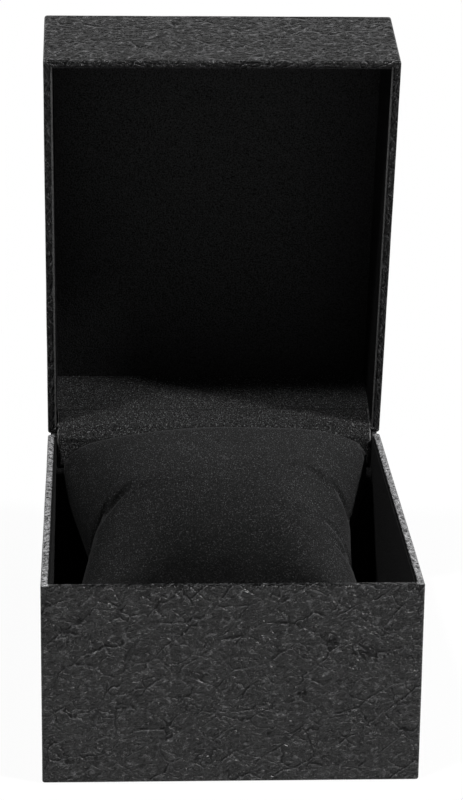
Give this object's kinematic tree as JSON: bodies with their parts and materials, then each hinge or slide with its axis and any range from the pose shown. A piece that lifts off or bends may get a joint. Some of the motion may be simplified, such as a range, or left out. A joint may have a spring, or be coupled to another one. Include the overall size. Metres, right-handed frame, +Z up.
{
  "type": "watch box",
  "caption": "Paper-covered cardboard box for one watch, its hinged lid standing open over a flocked inside and a stuffed velvet cushion that lifts out.",
  "frame": {"origin": "centre of the underside, on the surface that the box stands on", "axes": "+Z up; +X to the right, along the hinge; the hinge is at the back, at +Y, and the opening faces -Y"},
  "size_m": [0.082, 0.1253, 0.1493],
  "materials": {
    "greyboard": "matte",
    "stay_paper": "matte",
    "leatherette": "satin",
    "underside_paper": "matte",
    "flock": "matte",
    "velvet": "matte",
    "fibre_filling": "matte"
  },
  "bodies": {
    "base": {"base_floor_board": "greyboard", "base_front_board": "greyboard", "base_back_board": "greyboard", "base_left_board": "greyboard", "base_right_board": "greyboard", "base_corner_stays": "stay_paper", "base_cover": "leatherette", "underside_sheet": "underside_paper", "base_floor_lining": "flock", "base_front_lining": "flock", "base_back_lining": "flock", "base_left_lining": "flock", "base_right_lining": "flock", "hinge_strip_base_leaf": "flock", "hinge_strip_fold": "flock"},
    "lid": {"lid_top_board": "greyboard", "lid_front_board": "greyboard", "lid_back_board": "greyboard", "lid_left_board": "greyboard", "lid_right_board": "greyboard", "lid_corner_stays": "stay_paper", "lid_cover": "leatherette", "lid_top_lining": "flock", "lid_front_lining": "flock", "lid_back_lining": "flock", "lid_left_lining": "flock", "lid_right_lining": "flock", "hinge_strip_lid_leaf": "flock"},
    "pillow": {"pillow_cover": "velvet", "pillow_filling": "fibre_filling"}
  },
  "joints": [
    {"name": "lid_hinge", "type": "hinge", "parent": "base", "child": "lid", "pos_m": [0, 0.05, 0.0461], "axis": [-1, 0, 0], "range_deg": [-76.8, 0], "deforming": ["hinge_strip_fold"]},
    {"name": "pillow_lift", "type": "slide", "parent": "base", "child": "pillow", "axis": [0, 0, 1], "range_m": [0, 0.014]}
  ]
}
